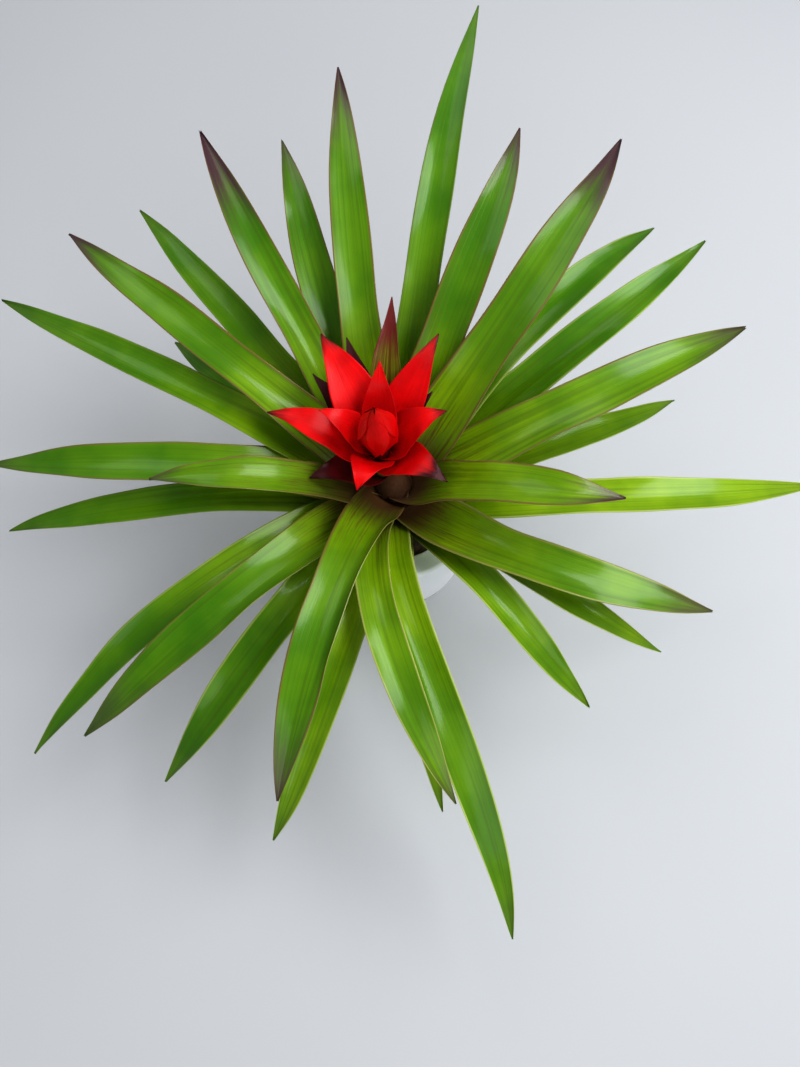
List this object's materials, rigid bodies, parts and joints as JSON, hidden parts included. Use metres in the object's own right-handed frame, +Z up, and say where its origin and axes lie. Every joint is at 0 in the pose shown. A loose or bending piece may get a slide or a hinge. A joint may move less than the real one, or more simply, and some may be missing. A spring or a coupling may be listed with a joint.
{
  "type": "potted bromeliad",
  "caption": "Potted bromeliad: arching strap leaves in a rosette around a short stem, a red star of pointed bracts on the stalk, in a plain white tapered pot.",
  "frame": {"origin": "centre of the pot's flat foot, on the surface it stands on", "axes": "+Z up along the pot's axis; -Y is the plant's front, the side the view looks from; +X is the plant's right seen from the front"},
  "size_m": [0.3705, 0.387, 0.1702],
  "materials": {
    "pot_plastic": "smooth white moulded pot, soft gloss",
    "bark_mix": "loose dark bark and peat, matt",
    "stem_green": "yellow-green stem with brown-purple marks, satin",
    "leaf_green": "glossy living leaf, fine lengthwise lines, purple-brown tip and margin",
    "bract_dark": "satin dark maroon bract, green-brown stripes lower down",
    "bract_red": "glossy saturated red bract with a near-black pointed tip"
  },
  "bodies": {
    "root": {"pot": "pot_plastic", "growing_mix": "bark_mix", "stem": "stem_green", "leaf_01": "leaf_green", "leaf_02": "leaf_green", "leaf_03": "leaf_green", "leaf_04": "leaf_green", "leaf_05": "leaf_green", "leaf_06": "leaf_green", "leaf_07": "leaf_green", "leaf_08": "leaf_green", "leaf_09": "leaf_green", "leaf_10": "leaf_green", "leaf_11": "leaf_green", "leaf_12": "leaf_green", "leaf_13": "leaf_green", "leaf_14": "leaf_green", "leaf_15": "leaf_green", "leaf_16": "leaf_green", "leaf_17": "leaf_green", "leaf_18": "leaf_green", "leaf_19": "leaf_green", "leaf_20": "leaf_green", "leaf_21": "leaf_green", "leaf_22": "leaf_green", "leaf_23": "leaf_green", "leaf_24": "leaf_green", "leaf_25": "leaf_green", "leaf_26": "leaf_green", "leaf_27": "leaf_green", "leaf_28": "leaf_green", "leaf_29": "leaf_green", "leaf_30": "leaf_green", "stalk_bract_1": "bract_dark", "stalk_bract_2": "bract_dark", "stalk_bract_3": "bract_dark", "stalk_bract_4": "bract_dark", "stalk_bract_5": "bract_dark", "red_bract_1": "bract_red", "red_bract_2": "bract_red", "red_bract_3": "bract_red", "red_bract_4": "bract_red", "red_bract_5": "bract_red", "red_bract_6": "bract_red", "red_bract_7": "bract_red", "red_bract_8": "bract_red", "closed_bract_1": "bract_red", "closed_bract_2": "bract_red", "closed_bract_3": "bract_red", "closed_bract_4": "bract_red"}
  },
  "joints": []
}
